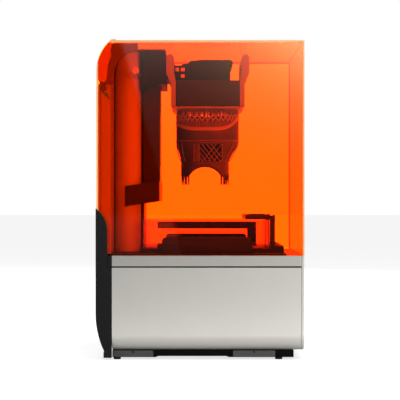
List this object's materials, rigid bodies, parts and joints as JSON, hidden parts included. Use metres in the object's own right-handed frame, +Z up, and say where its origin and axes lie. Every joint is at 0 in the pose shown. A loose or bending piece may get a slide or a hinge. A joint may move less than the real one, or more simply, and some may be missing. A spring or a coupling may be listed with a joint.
{
  "type": "resin printer",
  "caption": "Desktop resin printer with a tinted hinged cover, a lift-out resin tank, a Z tower with a squeeze-handle build platform and a half-finished print.",
  "frame": {"origin": "on the ground, under the middle of the bounding box", "axes": "+Z up, -Y is the front with the touchscreen, X runs across the machine along the cover's hinge"},
  "size_m": [0.398, 0.36, 0.5536],
  "materials": {
    "silver": "fine satin",
    "black": "fine texture",
    "anodised": "black anodised",
    "spine": "satin",
    "acrylic": "clear, tinted",
    "hinge_metal": "satin",
    "tank": "clear, tinted",
    "steel": "brushed",
    "handle": "satin",
    "platform": "bead blasted",
    "rubber": "matt",
    "resin": "cured resin",
    "glass": "polished",
    "board": "solder mask",
    "power": "plain",
    "film": "clear"
  },
  "bodies": {
    "base": {"side_panel_left": "silver", "side_panel_right": "silver", "deck_rim_left": "silver", "deck_rim_right": "silver", "front_panel": "silver", "touchscreen": "glass", "mask_display": "glass", "rear_cheek_left": "black", "rear_cheek_right": "black", "tank_rail_left": "black", "tank_rail_right": "black", "rear_cover": "black", "base_plate": "black", "deck_tray": "black", "light_box": "black", "fan_frame": "black", "power_inlet": "black", "cartridge_bay": "black", "cartridge": "black", "z_motor": "black", "skid_rear_left": "steel", "skid_rear_right": "steel", "skid_front_left": "steel", "skid_front_right": "steel", "foot_rear_left": "rubber", "foot_rear_right": "rubber", "foot_front_left": "rubber", "foot_front_right": "rubber", "led_heatsink": "power", "power_supply": "power", "main_board": "board", "rear_panel": "spine", "rear_spine": "spine", "hinge_shaft": "steel", "linear_rail": "steel", "z_tower": "anodised", "tower_bracket": "anodised", "tank_tub": "tank", "tank_film": "film"},
    "cover": {"cover_side_left": "acrylic", "cover_side_right": "acrylic", "cover_front": "acrylic", "cover_top": "acrylic", "cover_cap": "acrylic", "hinge_arm_left": "hinge_metal", "hinge_arm_right": "hinge_metal"},
    "carriage": {"carriage_arm": "anodised", "platform_cap": "black", "platform_body": "platform", "build_plate": "steel", "printed_part": "resin", "rail_block": "steel", "screw_nut": "steel"},
    "front_handle": {"handle_front": "handle"},
    "rear_handle": {"handle_rear": "handle"},
    "lead_screw": {"lead_screw": "steel"},
    "latch": {"tank_latch": "anodised"},
    "mixer": {"mixer": "black"},
    "fan": {"fan_rotor": "black"},
    "power_switch": {"power_switch": "black"}
  },
  "joints": [
    {"name": "cover_hinge", "type": "hinge", "parent": "base", "child": "cover", "pos_m": [0, 0.1115, 0.5], "axis": [-1, 0, 0], "range_deg": [0, 60]},
    {"name": "z_slide", "type": "slide", "parent": "base", "child": "carriage", "axis": [0, 0, 1], "range_m": [-0.105, 0]},
    {"name": "lead_screw_spin", "type": "hinge", "parent": "base", "child": "lead_screw", "pos_m": [0.022, 0.091, 0.4], "axis": [0, 0, 1], "range_deg": [-4760, 60]},
    {"name": "front_handle_squeeze", "type": "hinge", "parent": "carriage", "child": "front_handle", "pos_m": [0, -0.07585, 0.484], "axis": [-1, 0, 0], "range_deg": [0, 6], "stiffness_Nm_per_rad": 8},
    {"name": "rear_handle_squeeze", "type": "hinge", "parent": "carriage", "child": "rear_handle", "pos_m": [0, 0.04785, 0.484], "axis": [1, 0, 0], "range_deg": [0, 6], "stiffness_Nm_per_rad": 8},
    {"name": "latch_swing", "type": "hinge", "parent": "base", "child": "latch", "pos_m": [0, -0.1295, 0.19], "axis": [1, 0, 0], "range_deg": [0, 35]},
    {"name": "mixer_slide", "type": "slide", "parent": "base", "child": "mixer", "axis": [1, 0, 0], "range_m": [0, 0.22]},
    {"name": "fan_spin", "type": "hinge", "parent": "base", "child": "fan", "pos_m": [0, 0.1625, 0.095], "axis": [0, 1, 0], "continuous": true},
    {"name": "power_rocker", "type": "hinge", "parent": "base", "child": "power_switch", "pos_m": [0.099, 0.173, 0.111], "axis": [1, 0, 0], "range_deg": [0, 12]}
  ],
  "couplings": [
    {"joint": "lead_screw_spin", "follows": "z_slide", "rad_per_m": 785.4}
  ]
}
